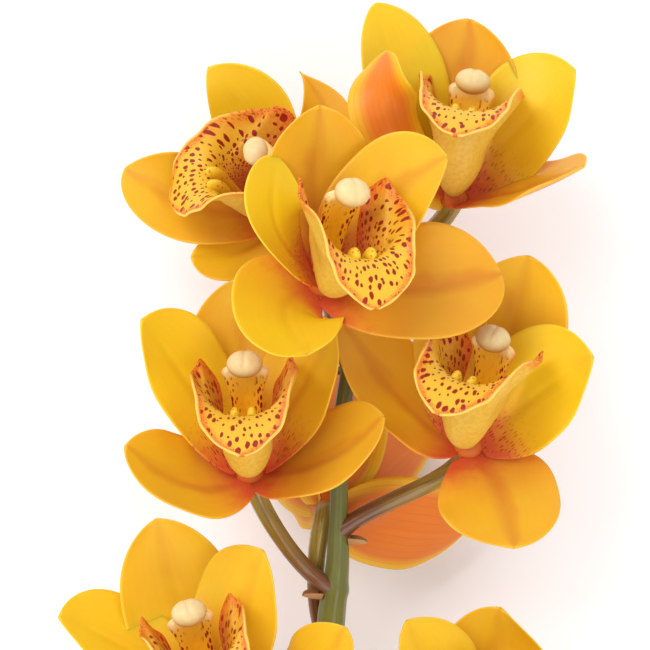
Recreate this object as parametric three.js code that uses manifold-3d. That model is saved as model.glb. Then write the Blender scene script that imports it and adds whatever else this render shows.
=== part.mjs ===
// A cut stem of a large-flowered cymbidium orchid, laid down on a flat surface.
// Millimetres, +Z up off the surface, +Y along the stem towards its tip.
//
// The stem carries eight blooms. Seven face up and the eighth faces down: the stem lies on the tips of its
// sepals and on its own cut end. Each bloom has three sepals and two petals that grow together round a
// small heart, a three-lobed lip, an arched column with a pale cap over its pollen, and a stalk with a
// small bract where it leaves the stem. Three dry sheaths clasp the bare lower stem.
import * as THREE from "three";
import { mergeVertices } from "three/addons/utils/BufferGeometryUtils.js";
import Module from "manifold-3d";

const wasm = await Module();
wasm.setup();

// ---------------------------------------------------------------- driving dimensions
const GAP = 0.3; // clearance between one piece and the next
const SMOOTHING = 0.1; // ripples lower than this are left out
const HEART_RADIUS = 5; // the knot of tissue in which a bloom's parts join
const BLADE_CORE = 1.4; // thickness of a sepal or petal along its middle
const BLADE_EDGE = 0.8; // and at its margin
const LIP_CORE = 1.5;
const LIP_EDGE = 0.8;
const STALK_RADIUS = [2.9, 3.4]; // at the stem and at the bloom

// The stem's middle line, from the cut end to the tip, with its radius: [x, y, z, radius].
const STEM_LINE = [
  [-2, -437, 5.5, 5.6],
  [-3, -370, 14.3, 5.5],
  [-2.5, -300, 23.5, 5.4],
  [-1.5, -230, 32.7, 5.3],
  [-0.5, -165, 41.3, 5.2],
  [2, -105, 50.2, 5],
  [4.2, -86, 53.2, 4.2],
  [4.8, -65, 56, 3.2],
  [5, -40, 57.3, 3.1],
  [8, -18, 57.8, 3],
  [11, 0, 58, 2.9],
  [12, 16, 58, 2.7],
  [12.5, 29, 58, 2.3],
];

// The usual form of a bloom's blades. wide is the full width, cup the angle, in radians, by which each half
// curls forward, blunt how full the end is, from a sharp 1 to a round 0.5, hook the share by which the upper
// half outgrows the lower towards the tip, and layer how far in front of the heart the blade starts.
const BLADE_FORM = {
  dorsal_sepal: { wide: 40, cup: 0.5, blunt: 0.6, hook: 0, layer: -1.2 },
  petal_left: { wide: 34, cup: 0.35, blunt: 0.62, hook: 0.34, layer: 1.2 },
  petal_right: { wide: 34, cup: 0.35, blunt: 0.62, hook: -0.34, layer: 1.2 },
  sepal_left: { wide: 36, cup: 0.35, blunt: 0.54, hook: 0.12, layer: -1.2 },
  sepal_right: { wide: 36, cup: 0.35, blunt: 0.54, hook: -0.12, layer: -1.2 },
};

// Where each bloom sits: its heart, the way it faces, the way its back sepal points, and the height along
// the stem of the node that it grows from. A blade is given by the offsets from the heart of the middle of
// its midrib and of its tip, and roll turns it about its midrib. Left and right are a viewer's.
const BLOOMS = [
  {
    heart: [-1, 14.3, 86],
    face: [0.33, 0.42, 0.85],
    up: [-0.18, 0.9, -0.4],
    node: 10,
    blades: {
      dorsal_sepal: { mid: [-3, 31, 2], tip: [-0.7, 59.5, 13], wide: 43 },
      petal_left: { mid: [-15.5, 19, 18.5], tip: [-14.5, 42, 14], wide: 30, roll: 0.4, hook: 0 },
      petal_right: { mid: [20, 26, 6], tip: [42, 42, 17] },
      sepal_left: { mid: [-12.5, -9, 10.5], tip: [-5, -24, 27], wide: 41, cup: 0.3, blunt: 0.32, hook: 0 },
      sepal_right: { mid: [32, -2, 7], tip: [61, 3, 2], wide: 44 },
    },
  },
  {
    heart: [44.8, 44.5, 60],
    face: [0.1, 0.845, 0.52],
    up: [0.18, 0.5, -0.83],
    node: 14,
    blades: {
      dorsal_sepal: { mid: [2, 32, -8], tip: [6, 63, -5], wide: 44 },
      petal_left: { mid: [-17, 31, 2], tip: [-27, 68, 2], wide: 36 },
      petal_right: { mid: [24, 25, 0], tip: [42, 44, 8], wide: 37, roll: 0.5 },
      sepal_left: { mid: [-22, 24, 18], tip: [-23, 49, 24], wide: 25, cup: 0.2, roll: 2.3, blunt: 0.3 },
      sepal_right: { mid: [24, 2, 14], tip: [43, 9.5, 30], wide: 34 },
    },
  },
  {
    heart: [-14, 40.5, 47.5],
    face: [-0.6, 0.4, 0.69],
    up: [0.72, 0.48, 0.5],
    size: 0.88,
    node: -14,
    blades: {
      dorsal_sepal: { mid: [15, 25.5, -2], tip: [5, 49.5, -2], wide: 22, roll: 0.5, blunt: 1.5 },
      petal_left: { mid: [-9, 27.5, 3], tip: [-27, 49.5, 13], wide: 34, blunt: 0.75 },
      petal_right: { mid: [17, -6.5, -8], tip: [19, -16.5, -30], wide: 28 },
      sepal_left: { mid: [-31, 1.5, 2], tip: [-56, 14.5, 10], wide: 32 },
      sepal_right: { mid: [-15, -14, 1], tip: [-33, -16.5, 7], wide: 21, roll: -0.5 },
    },
  },
  {
    heart: [-26, -51.2, 66],
    face: [-0.04, 0.707, 0.707],
    up: [0, 0.707, -0.707],
    node: -93,
    sag: [-2, -9, 4],
    blades: {
      dorsal_sepal: { mid: [-2, 34, -11], tip: [-2, 68, -7], wide: 43 },
      petal_left: { mid: [-21, 30, 3], tip: [-37, 53, 12] },
      petal_right: { mid: [18, 30, 3], tip: [29, 52, 12] },
      sepal_left: { mid: [-20, -4, 10], tip: [-42, 10, 22] },
      sepal_right: { mid: [25, 4, 11], tip: [46, 20, 24] },
    },
  },
  {
    heart: [49.6, -42, 70],
    face: [0.02, 0.74, 0.67],
    up: [0.47, 0.61, -0.64],
    node: -73,
    sag: [0, 3, 0],
    blades: {
      dorsal_sepal: { mid: [14, 34, -10], tip: [21.5, 66, -6], wide: 44 },
      petal_left: { mid: [-6, 31, -8], tip: [-8, 62, -5], wide: 28, roll: -0.4 },
      petal_right: { mid: [23, 17, 3], tip: [42, 31, 14], wide: 40, roll: 0.4 },
      sepal_left: { mid: [-20, 13, -4], tip: [-43.5, 42, -6.5], wide: 39, roll: 0.1 },
      sepal_right: { mid: [10.5, -17, 14], tip: [14, -33, 30], wide: 43, cup: 0.15, hook: 0.2 },
    },
  },
  {
    heart: [-38, -136, 65],
    face: [-0.12, 0.72, 0.69],
    up: [-0.28, 0.68, -0.69],
    node: -156,
    blades: {
      dorsal_sepal: { mid: [-12, 34, -11], tip: [-21, 68, -6], wide: 43 },
      petal_left: { mid: [-28, 21, 0], tip: [-54, 35, 8] },
      petal_right: { mid: [9, 34, 2], tip: [16.5, 58, 8] },
      sepal_left: { mid: [-25, -11, 11], tip: [-48, -8, 24] },
      sepal_right: { mid: [29, 10, 14], tip: [45, 33, 25] },
    },
  },
  {
    heart: [63, -156, 57],
    face: [0, 0.72, 0.69],
    up: [0.1, 0.69, -0.72],
    node: -177,
    blades: {
      dorsal_sepal: { mid: [-3, 29, -13], tip: [-1, 56, -6], wide: 43 },
      petal_left: { mid: [-21, 26, 2], tip: [-34.5, 53, 8] },
      petal_right: { mid: [24, 18, 4], tip: [46, 30, 14] },
      sepal_left: { mid: [-23, -9, 13], tip: [-44, -4, 27] },
      sepal_right: { mid: [22, -11, 14], tip: [43, -8, 28] },
    },
  },
  {
    heart: [0.4, -65.7, 46],
    face: [0.2, 0.3, -0.93],
    up: [-0.1, 0.96, 0.1],
    size: 0.86,
    node: -113,
    sag: [-8, -2, -14],
    blades: {
      dorsal_sepal: { mid: [3, 29, -14], tip: [7, 52, -46.3] },
      petal_left: { mid: [22, 16, -10], tip: [43, 33, -46.3], wide: 32 },
      petal_right: { mid: [-16, 19, -17], tip: [-27, 37, -43], wide: 32 },
      sepal_left: { mid: [27, -7, -7], tip: [50, -9, -24], wide: 39 },
      sepal_right: { mid: [-13, 6, -20], tip: [-24, 12, -46.3], wide: 27 },
    },
  },
];

// The lip's middle line, as [up, forward] from the heart: a claw, a straight trough and a middle lobe that
// bends down. Along it go half its width, measured over the curve, the radius that its floor is rounded
// with, the angle at which its walls run on straight and how far its margins reach ahead of the middle line:
// two tall side lobes beside the column, a waist and the middle lobe.
const LIP_LINE = [
  [-3.6, 3.2],
  [-8.6, 8],
  [-10.5, 18],
  [-10, 30],
  [-9.5, 37],
  [-14.5, 41],
  [-28, 39],
];
const LIP_SHAPE = [
  { v: 0, half: 5, round: 3.6, wall: 1.2, ahead: 0 },
  { v: 0.24, half: 25, round: 7.8, wall: 1.5, ahead: 1 },
  { v: 0.35, half: 35, round: 8.2, wall: 1.5, ahead: 3 },
  { v: 0.44, half: 39.5, round: 9.5, wall: 1.42, ahead: 4.5 },
  { v: 0.49, half: 40.5, round: 11, wall: 1.4, ahead: 6 },
  { v: 0.53, half: 38, round: 12.5, wall: 1.36, ahead: 7.5 },
  { v: 0.58, half: 31.5, round: 14, wall: 1.2, ahead: 8 },
  { v: 0.62, half: 24.5, round: 16, wall: 1.05, ahead: 6.5 },
  { v: 0.66, half: 18, round: 22, wall: 0.9, ahead: 3.5 },
  { v: 0.73, half: 16, round: 34, wall: 0.7, ahead: 0.5 },
  { v: 0.82, half: 14, round: 44, wall: 0.6, ahead: 0 },
  { v: 0.91, half: 9.6, round: 50, wall: 0.5, ahead: 0 },
  { v: 0.97, half: 5, round: 50, wall: 0.5, ahead: 0 },
  { v: 1, half: 1.6, round: 50, wall: 0.5, ahead: 0 },
];

// The column's middle line, as [up, forward] from the heart, and its half width and depth from root to tip.
const COLUMN_LINE = [
  [2.2, 4.3],
  [8.5, 12],
  [13.5, 22],
  [15.5, 31],
  [15, 37],
];
const COLUMN_HALF_WIDTH = [4.2, 5.6, 9];
const COLUMN_HALF_DEPTH = [3.8, 3.4, 3];
const CAP_CENTRE = [0, 15, 38.5]; // [right, up, forward] of the cap over the pollen
const CAP_RADII = [6.2, 5.2, 4.4];

// ---------------------------------------------------------------- solids and meshes
const vec = (a) => new THREE.Vector3(...a);

/** The closed solid of a geometry, with its shared corners merged. */
function solidOf(geometry) {
  const bare = geometry.clone();
  bare.deleteAttribute("normal");
  bare.deleteAttribute("uv");
  const merged = mergeVertices(bare, 1e-4);
  return new wasm.Manifold(
    new wasm.Mesh({
      numProp: 3,
      vertProperties: new Float32Array(merged.attributes.position.array),
      triVerts: new Uint32Array(merged.index.array),
    }),
  );
}

/** A solid's surface as a geometry. */
function geometryOf(solid) {
  const { vertProperties, triVerts, numProp, numVert } = solid.getMesh();
  const points = new Float32Array(numVert * 3);
  for (let i = 0; i < numVert; i++) points.set(vertProperties.subarray(i * numProp, i * numProp + 3), i * 3);
  const geometry = new THREE.BufferGeometry();
  geometry.setAttribute("position", new THREE.BufferAttribute(points, 3));
  geometry.setIndex(new THREE.BufferAttribute(triVerts, 1));
  return geometry;
}

/**
 * A thin closed blade. surface(u, w) gives its middle sheet, u from -1 to 1 across and w from 0 to 1 along,
 * and thickness(u) its thickness. Both faces are split into the same triangles.
 */
function blade(surface, thickness, across, along) {
  const sheet = new THREE.PlaneGeometry(2, 1, across, along);
  const at = sheet.attributes.position;
  const us = [];
  for (let i = 0; i < at.count; i++) {
    const u = at.getX(i);
    us.push(u);
    at.setXYZ(i, ...surface(u, at.getY(i) + 0.5).toArray());
  }
  sheet.computeVertexNormals();
  const normal = sheet.attributes.normal;
  const points = [];
  for (const side of [0.5, -0.5])
    for (let i = 0; i < at.count; i++) {
      const reach = side * thickness(us[i]);
      points.push(
        at.getX(i) + normal.getX(i) * reach,
        at.getY(i) + normal.getY(i) * reach,
        at.getZ(i) + normal.getZ(i) * reach,
      );
    }
  const front = [...sheet.index.array];
  const faces = [...front];
  for (let i = 0; i < front.length; i += 3)
    faces.push(front[i] + at.count, front[i + 2] + at.count, front[i + 1] + at.count);
  const row = across + 1;
  const rim = [];
  for (let j = 0; j < along; j++) rim.push(j * row);
  for (let i = 0; i < across; i++) rim.push(along * row + i);
  for (let j = along; j > 0; j--) rim.push(j * row + across);
  for (let i = across; i > 0; i--) rim.push(i);
  rim.forEach((a, k) => {
    const b = rim[(k + 1) % rim.length];
    faces.push(b, a, a + at.count, b, a + at.count, b + at.count);
  });
  const geometry = new THREE.BufferGeometry();
  geometry.setAttribute("position", new THREE.Float32BufferAttribute(points, 3));
  geometry.setIndex(faces);
  return solidOf(geometry);
}

/**
 * A closed bar along a curve. section(s, cos, sin) gives the offsets [across, lift] of a point of its skin
 * at the share s of its length. across lies level with the given normal's plane.
 */
function bar(curve, section, sides, rings, normal) {
  const skin = new THREE.CylinderGeometry(1, 1, 1, sides, rings);
  const at = skin.attributes.position;
  for (let i = 0; i < at.count; i++) {
    const s = at.getY(i) + 0.5;
    const along = curve.getTangentAt(s);
    const across = new THREE.Vector3().crossVectors(along, normal).normalize();
    const lift = new THREE.Vector3().crossVectors(across, along);
    const [a, b] = section(s, at.getX(i), at.getZ(i));
    const p = curve.getPointAt(s).addScaledVector(across, a).addScaledVector(lift, b);
    at.setXYZ(i, p.x, p.y, p.z);
  }
  return solidOf(skin);
}

/** A ball, or an egg when radii are three unequal numbers along a bloom's own axes. */
function bead(axes, centre, radii, grow) {
  const ball = new THREE.SphereGeometry(1, 8, 4);
  const at = ball.attributes.position;
  for (let i = 0; i < at.count; i++) {
    const p = axes.place([
      centre[0] + (radii[0] + grow) * at.getX(i),
      centre[1] + (radii[1] + grow) * at.getY(i),
      centre[2] + (radii[2] + grow) * at.getZ(i),
    ]);
    at.setXYZ(i, p.x, p.y, p.z);
  }
  return solidOf(ball);
}

// ---------------------------------------------------------------- stem
const stemCurve = new THREE.CatmullRomCurve3(STEM_LINE.map(([x, y, z]) => new THREE.Vector3(x, y, z)));
const SKYWARD = new THREE.Vector3(0, 0, 1);
const STEM_SIDES = 12;
const STEM_RINGS = 24;

/** The share of the stem's length at which it passes y. */
function stemShare(y) {
  let [low, high] = [0, 1];
  for (let i = 0; i < 30; i++) {
    const middle = (low + high) / 2;
    if (stemCurve.getPointAt(middle).y < y) low = middle;
    else high = middle;
  }
  return low;
}

const stemKnots = STEM_LINE.map(([, y, , r]) => ({ s: stemShare(y), r }));

/** The stem's radius at the share s of its length. */
function stemRadius(s) {
  const next = Math.max(1, stemKnots.findIndex((knot) => knot.s >= s));
  const [a, b] = [stemKnots[next - 1], stemKnots[next]];
  return THREE.MathUtils.mapLinear(s, a.s, b.s, a.r, b.r);
}

/** The stem, or the room to leave for it when grow isn't nought. */
function stemSolid(grow) {
  const section = (s, x, z) => {
    const r = stemRadius(s) + grow;
    return [x * r, z * r];
  };
  return bar(stemCurve, section, STEM_SIDES, STEM_RINGS, SKYWARD);
}

const stemRoom = stemSolid(GAP);

// A dry sheath clasps the stem at its foot and opens into a pointed hood.
const SHEATHS = [
  { foot: -392, length: 46, turn: 0.6 },
  { foot: -322, length: 50, turn: 3.4 },
  { foot: -246, length: 46, turn: 1.2 },
];
const SHEATH_THICKNESS = 0.8;

function sheathSolid({ foot, length, turn }) {
  const sheet = (u, w) => {
    const s = stemShare(foot + length * w);
    const along = stemCurve.getTangentAt(s);
    const across = new THREE.Vector3().crossVectors(along, SKYWARD).normalize();
    const lift = new THREE.Vector3().crossVectors(across, along);
    const angle = turn + u * 2.7 * Math.pow(1.02 - w, 0.55);
    const r = stemRadius(s) + GAP + SHEATH_THICKNESS * 0.75 + 2.6 * w * w;
    return stemCurve
      .getPointAt(s)
      .addScaledVector(across, r * Math.cos(angle))
      .addScaledVector(lift, r * Math.sin(angle));
  };
  return blade(sheet, () => SHEATH_THICKNESS, 6, 3).subtract(stemRoom);
}

// ---------------------------------------------------------------- a bloom
/** A bloom's own axes, and the point at [right, up, forward] from its heart. */
function axesOf({ heart, face, up, size = 1 }) {
  const forward = vec(face).normalize();
  const right = new THREE.Vector3().crossVectors(vec(up), forward).normalize();
  const upward = new THREE.Vector3().crossVectors(forward, right);
  const place = ([a, b, c]) =>
    vec(heart)
      .addScaledVector(right, a * size)
      .addScaledVector(upward, b * size)
      .addScaledVector(forward, c * size);
  return { right, upward, forward, place };
}

const BLADE_BASE = 0.36; // a blade's width where it leaves the heart, as a share of its widest
const BLADE_BELLY = 0.5; // the share of its length at which it is widest

/** Half the width of a sepal or petal at the share v of its length, as a share of its widest. */
function bladeOutline(v, blunt) {
  if (v < BLADE_BELLY) {
    const opened = Math.pow(v / BLADE_BELLY, 0.8);
    return BLADE_BASE + (1 - BLADE_BASE) * Math.sin((opened * Math.PI) / 2);
  }
  const past = (v - BLADE_BELLY) / (1 - BLADE_BELLY);
  return Math.max(0.04, Math.pow(1 - Math.pow(past, 2.5), blunt));
}

/** The middle sheet of a sepal or petal. */
function bladeSheet(bloom, axes, { mid, tip, wide, cup, blunt, hook, layer, roll = 0 }) {
  const heart = vec(bloom.heart);
  const outward = vec(mid).addScaledVector(axes.forward, -vec(mid).dot(axes.forward)).normalize();
  const start = heart
    .clone()
    .addScaledVector(outward, HEART_RADIUS * 0.85)
    .addScaledVector(axes.forward, layer);
  const middle = heart.clone().add(vec(mid));
  const end = heart.clone().add(vec(tip));
  const control = middle.clone().multiplyScalar(2).addScaledVector(start, -0.5).addScaledVector(end, -0.5);
  const rib = new THREE.QuadraticBezierCurve3(start, control, end);
  return (u, w) => {
    const v = 1 - Math.pow(1 - w, 1.4);
    const along = rib.getTangent(v);
    const front = axes.forward.clone().addScaledVector(along, -along.dot(axes.forward)).normalize();
    front.applyAxisAngle(along, roll);
    const side = new THREE.Vector3().crossVectors(along, front);
    const half = (wide / 2) * bladeOutline(v, blunt);
    const turn = cup * (u + hook * v * v * u * u);
    return rib
      .getPoint(v)
      .addScaledVector(side, (half / cup) * Math.sin(turn))
      .addScaledVector(front, (half / cup) * (1 - Math.cos(turn)));
  };
}

const BLADE_ACROSS = 4;
const BLADE_ALONG = 5;
const bladeThickness = (u) => BLADE_CORE + (BLADE_EDGE - BLADE_CORE) * u * u;

/** The heart, to which a bloom's parts are joined, or the room to leave for it. */
const heartSolid = (axes, grow) => bead(axes, [0, 0, 0], [HEART_RADIUS, HEART_RADIUS, HEART_RADIUS], grow);

/** The cap over the pollen, or the room to leave for it. */
const capSolid = (axes, grow) => bead(axes, CAP_CENTRE, CAP_RADII, grow);

/** The three sepals and two petals of a bloom, joined at its heart. */
function tepalSolid(bloom, axes) {
  const parts = Object.entries(BLADE_FORM).map(([name, form]) => {
    const sheet = bladeSheet(bloom, axes, { ...form, ...bloom.blades[name] });
    return blade(sheet, bladeThickness, BLADE_ACROSS, BLADE_ALONG);
  });
  return wasm.Manifold.union([heartSolid(axes, 0), ...parts]);
}

/** The lip, or the room to leave for it. */
function lipSolid(axes, grow) {
  const line = new THREE.CatmullRomCurve3(LIP_LINE.map(([up, forward]) => axes.place([0, up, forward])));
  const sheet = (u, w) => {
    const row = Math.round(w * (LIP_SHAPE.length - 1));
    const { v, half, round, wall, ahead } = LIP_SHAPE[row];
    const along = line.getTangentAt(v);
    const front = new THREE.Vector3().crossVectors(along, axes.right).normalize();
    const beyond = { 0: -grow, 1: grow }[v] ?? 0;
    const reach = Math.abs(u) * (half + grow);
    const turn = Math.min(wall, reach / round);
    const straight = reach - turn * round;
    return line
      .getPointAt(v)
      .addScaledVector(axes.right, Math.sign(u) * (round * Math.sin(turn) + straight * Math.cos(turn)))
      .addScaledVector(front, round * (1 - Math.cos(turn)) + straight * Math.sin(turn))
      .addScaledVector(axes.forward, ahead * u * u)
      .addScaledVector(along, beyond);
  };
  const thickness = (u) => LIP_CORE + (LIP_EDGE - LIP_CORE) * u * u + 2 * grow;
  return blade(sheet, thickness, 6, LIP_SHAPE.length - 1);
}

/** The column, rounded over its back and flat beneath, or the room to leave for it. */
function columnSolid(axes, grow) {
  const line = new THREE.CatmullRomCurve3(COLUMN_LINE.map(([up, forward]) => axes.place([0, up, forward])));
  const section = (s, x, z) => {
    const wide = s < 0.6 ? [0, 1, s / 0.6] : [1, 2, (s - 0.6) / 0.4];
    const halfWidth = THREE.MathUtils.lerp(COLUMN_HALF_WIDTH[wide[0]], COLUMN_HALF_WIDTH[wide[1]], wide[2]);
    const halfDepth = THREE.MathUtils.lerp(COLUMN_HALF_DEPTH[wide[0]], COLUMN_HALF_DEPTH[wide[1]], wide[2]);
    return [x * (halfWidth + grow), z * ((z > 0 ? 1 : 0.45) * halfDepth + grow)];
  };
  return bar(line, section, 8, 5, axes.upward);
}

/** The middle line of the stalk that carries a bloom, from the stem's middle to its heart. */
function stalkCurve(bloom, axes) {
  const root = stemCurve.getPointAt(stemShare(bloom.node));
  const end = vec(bloom.heart);
  const way = end.clone().sub(root);
  return new THREE.CubicBezierCurve3(
    root,
    root.clone().addScaledVector(way, 0.3).add(vec(bloom.sag ?? [0, 0, 0])),
    end.clone().addScaledVector(axes.forward, -way.length() * 0.3),
    end,
  );
}

/** The stalk, or the room to leave for it. */
function stalkSolid(bloom, axes, grow) {
  const section = (s, x, z) => {
    const r = THREE.MathUtils.lerp(...STALK_RADIUS, s) + grow;
    return [x * r, z * r];
  };
  return bar(stalkCurve(bloom, axes), section, 8, 4, axes.right);
}

const BRACT = { length: 6.5, wide: 9, thickness: 0.8, cup: 1.3 };

/** The small pointed bract that cups a stalk from below where it leaves the stem. */
function bractSolid(bloom, axes) {
  const s = stemShare(bloom.node);
  const stemward = stemCurve.getTangentAt(s);
  const root = stemCurve.getPointAt(s);
  const outward = stalkCurve(bloom, axes).getTangentAt(0.12);
  outward.addScaledVector(stemward, -outward.dot(stemward)).normalize();
  const side = new THREE.Vector3().crossVectors(outward, stemward);
  const { length, wide, cup } = BRACT;
  const sheet = (u, w) => {
    const half = (wide / 2) * Math.max(0.06, Math.sqrt(1 - w * w));
    const below = STALK_RADIUS[0] + 0.9 - w * w * length * 0.1;
    return root
      .clone()
      .addScaledVector(outward, stemRadius(s) + GAP + w * length)
      .addScaledVector(stemward, (half / cup) * (1 - Math.cos(cup * u)) - below)
      .addScaledVector(side, (half / cup) * Math.sin(cup * u));
  };
  return blade(sheet, () => BRACT.thickness, 2, 3);
}

// ---------------------------------------------------------------- the whole stem
const MATERIALS = {
  stem: new THREE.MeshStandardMaterial({ color: 0x6f8034, roughness: 0.45 }),
  stalk: new THREE.MeshStandardMaterial({ color: 0x8c6a38, roughness: 0.35 }),
  tepal: new THREE.MeshStandardMaterial({ color: 0xf0b41e, roughness: 0.5 }),
  lip: new THREE.MeshStandardMaterial({ color: 0xead070, roughness: 0.5 }),
  column: new THREE.MeshStandardMaterial({ color: 0xe08a4a, roughness: 0.45 }),
  cap: new THREE.MeshStandardMaterial({ color: 0xf6ebc2, roughness: 0.4 }),
  sheath: new THREE.MeshStandardMaterial({ color: 0xb0a060, roughness: 0.8 }),
};

const orchid = new THREE.Group();

/** Adds one piece, with what would reach below the surface it lies on worn flat. */
function add(name, solid, material) {
  const resting = solid.trimByPlane([0, 0, 1], 0).simplify(SMOOTHING);
  const mesh = new THREE.Mesh(geometryOf(resting), MATERIALS[material]);
  mesh.name = name;
  orchid.add(mesh);
}

add("stem", stemSolid(0), "stem");
SHEATHS.forEach((sheath, index) => add(`sheath_${index + 1}`, sheathSolid(sheath), "sheath"));
BLOOMS.forEach((bloom, index) => {
  const name = `bloom_${index + 1}`;
  const axes = axesOf(bloom);
  const heartRoom = heartSolid(axes, GAP);
  const lipRoom = lipSolid(axes, GAP);
  const columnRoom = columnSolid(axes, GAP);
  const stalkRoom = stalkSolid(bloom, axes, GAP);
  const stalk = stalkSolid(bloom, axes, 0).subtract(stemRoom).subtract(heartRoom);
  const tepals = tepalSolid(bloom, axes)
    .subtract(lipRoom)
    .subtract(columnRoom)
    .subtract(stalkRoom);
  const column = columnSolid(axes, 0).subtract(heartRoom).subtract(capSolid(axes, GAP));
  add(`${name}_stalk`, stalk, "stalk");
  add(`${name}_bract`, bractSolid(bloom, axes).subtract(stalkRoom), "sheath");
  add(`${name}_tepals`, tepals, "tepal");
  add(`${name}_lip`, lipSolid(axes, 0).subtract(heartRoom), "lip");
  add(`${name}_column`, column, "column");
  add(`${name}_cap`, capSolid(axes, 0), "cap");
});

const box = new THREE.Box3().setFromObject(orchid);
const middle = box.getCenter(new THREE.Vector3());
orchid.position.set(-middle.x, -middle.y, -box.min.z);

export default orchid;
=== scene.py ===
# %% Load the solid model
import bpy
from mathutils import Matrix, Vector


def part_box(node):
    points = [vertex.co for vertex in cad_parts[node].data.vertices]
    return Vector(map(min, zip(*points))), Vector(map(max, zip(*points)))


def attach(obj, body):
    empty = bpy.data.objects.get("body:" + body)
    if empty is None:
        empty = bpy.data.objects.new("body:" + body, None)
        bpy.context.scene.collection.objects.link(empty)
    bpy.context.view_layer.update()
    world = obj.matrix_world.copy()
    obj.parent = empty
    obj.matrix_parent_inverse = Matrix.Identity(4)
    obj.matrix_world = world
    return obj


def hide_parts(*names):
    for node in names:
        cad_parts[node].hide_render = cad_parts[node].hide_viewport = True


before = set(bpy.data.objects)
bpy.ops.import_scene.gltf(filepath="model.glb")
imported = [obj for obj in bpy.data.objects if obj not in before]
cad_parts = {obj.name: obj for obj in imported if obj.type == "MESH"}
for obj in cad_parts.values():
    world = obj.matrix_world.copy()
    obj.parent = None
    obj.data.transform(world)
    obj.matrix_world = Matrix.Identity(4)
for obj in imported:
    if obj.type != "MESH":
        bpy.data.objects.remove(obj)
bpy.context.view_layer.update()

# %% [markdown]
# # A cut stem of cymbidium orchids
#
# A cymbidium carries its blooms on one stout green stem. Each bloom has three sepals and two petals that
# look nearly alike, a lip in three lobes with maroon spots, and an arched column that ends in a pale cap.
# The solids already hold every piece at its size. This lesson dresses them: each piece is made again as a
# finer sheet or tube on the same lines, and then gets a skin with veins, spots and a soft shine.
#
# Lengths are written in millimetres, as a gardener would measure them, and turned into metres where Blender
# reads them.

# %% Tools
import math
from bisect import bisect_left
from functools import cached_property

import bmesh
import bpy
from mathutils import Matrix, Vector

MM = 0.001  # metres in a millimetre
TAU = 2 * math.pi

# %% [markdown]
# ## The lines that the plant grows on
#
# The stem is one smooth line from its cut end to its tip, and the radius changes along it. Each bloom has a
# heart, a direction that it faces and a direction in which its back sepal points. A sepal or petal is drawn
# by two offsets from the heart: the middle of its midrib and its tip. These are the same lines that the
# solids grow on, so every finer piece lies where its solid lies.

# %% The stem's line and the sheaths that clasp it
STEM_LINE = [  # x, y, z, radius
    (-2, -437, 5.5, 5.6),
    (-3, -370, 14.3, 5.5),
    (-2.5, -300, 23.5, 5.4),
    (-1.5, -230, 32.7, 5.3),
    (-0.5, -165, 41.3, 5.2),
    (2, -105, 50.2, 5),
    (4.2, -86, 53.2, 4.2),
    (4.8, -65, 56, 3.2),
    (5, -40, 57.3, 3.1),
    (8, -18, 57.8, 3),
    (11, 0, 58, 2.9),
    (12, 16, 58, 2.7),
    (12.5, 29, 58, 2.3),
]
SHEATHS = [
    {"foot": -392, "length": 46, "turn": 0.6},
    {"foot": -322, "length": 50, "turn": 3.4},
    {"foot": -246, "length": 46, "turn": 1.2},
]
STALK_RADIUS = (2.9, 3.4)
HEART_RADIUS = 5

# %% The blooms
# wide: greatest width. cup: how far each half curves forward, in radians. blunt: smaller for a fuller end.
# hook: how much further one half curves than the other. layer: how far ahead of the heart a blade starts.
# roll: its turn about its midrib, in radians.
BLADE_FORM = {
    "dorsal_sepal": {"wide": 40, "cup": 0.5, "blunt": 0.6, "hook": 0, "layer": -1.2},
    "petal_left": {"wide": 34, "cup": 0.35, "blunt": 0.62, "hook": 0.34, "layer": 1.2},
    "petal_right": {"wide": 34, "cup": 0.35, "blunt": 0.62, "hook": -0.34, "layer": 1.2},
    "sepal_left": {"wide": 36, "cup": 0.35, "blunt": 0.54, "hook": 0.12, "layer": -1.2},
    "sepal_right": {"wide": 36, "cup": 0.35, "blunt": 0.54, "hook": -0.12, "layer": -1.2},
}


def blade(mid, tip, amber_and_shade, **own):
    """Offsets of its midrib from the heart, how far its gold goes over to amber (partly its own tone and
    partly painted shade), and its own form.
    """
    return {"mid": mid, "tip": tip, "amber_and_shade": amber_and_shade, **own}


def new_bloom(heart, face, up, node, *blades, **own):
    """face and up are the directions in which the bloom and its back sepal point.

    node is the y at which its stalk leaves the stem. The blades come in the order of BLADE_FORM. A sag of
    its own pulls the stalk aside, and a size of its own goes for all but the blades.
    """
    return {"heart": heart, "face": face, "up": up, "node": node, **dict(zip(BLADE_FORM, blades)), **own}


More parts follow.
